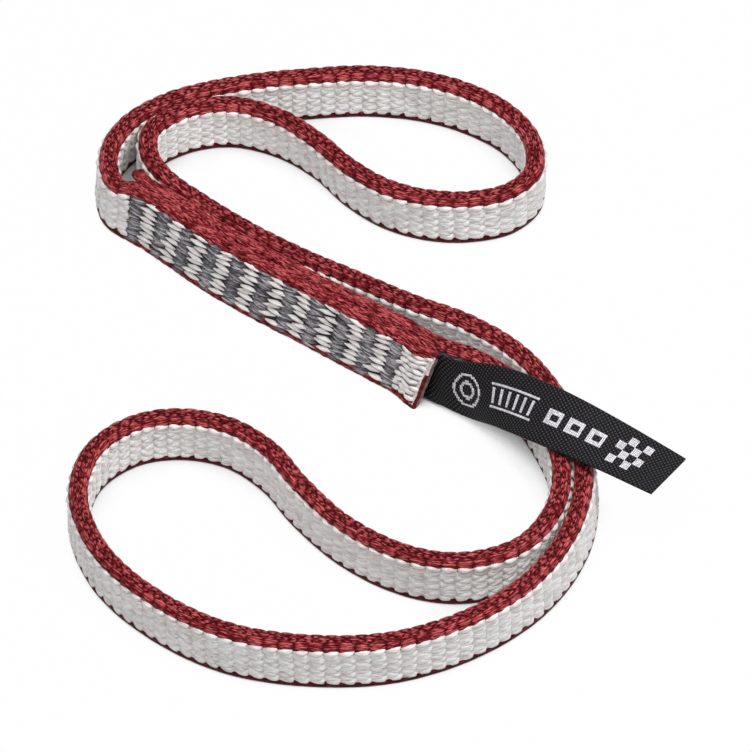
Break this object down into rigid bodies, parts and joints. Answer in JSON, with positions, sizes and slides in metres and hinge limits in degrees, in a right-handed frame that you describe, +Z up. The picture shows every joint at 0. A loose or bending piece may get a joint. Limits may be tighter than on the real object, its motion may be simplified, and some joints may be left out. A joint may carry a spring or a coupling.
{
  "type": "climbing sling",
  "caption": "Short sewn sling of flat woven webbing, lying on its edge in an S with an open loop at each end. A bar-tacked splice closes it and holds a woven label.",
  "frame": {"origin": "below the middle of the laid sling, on the surface it lies on", "axes": "+Y from the larger loop to the smaller loop, +Z up along the webbing's width, +X towards the label's tip"},
  "size_m": [0.0954, 0.1292, 0.0144],
  "materials": {
    "webbing": "white flat woven webbing with dyed red selvedges, faint sheen",
    "thread": "dark grey sewing thread, dense zigzag, matt",
    "label_tape": "black damask woven tape with white woven marks, satin"
  },
  "bodies": {
    "sling": {"webbing": "webbing", "bar_tack_01": "thread", "bar_tack_02": "thread", "bar_tack_03": "thread", "bar_tack_04": "thread", "bar_tack_05": "thread", "bar_tack_06": "thread", "bar_tack_07": "thread", "bar_tack_08": "thread", "bar_tack_09": "thread", "bar_tack_10": "thread", "bar_tack_11": "thread", "label_sewn_end": "label_tape"},
    "label": {"label_flap": "label_tape"}
  },
  "joints": [
    {"name": "label_fold", "type": "hinge", "parent": "sling", "child": "label", "pos_m": [0.01004, -0.00302, 0.0053], "axis": [-0.0623, -0.1662, -0.9841], "range_deg": [0, 60]}
  ]
}
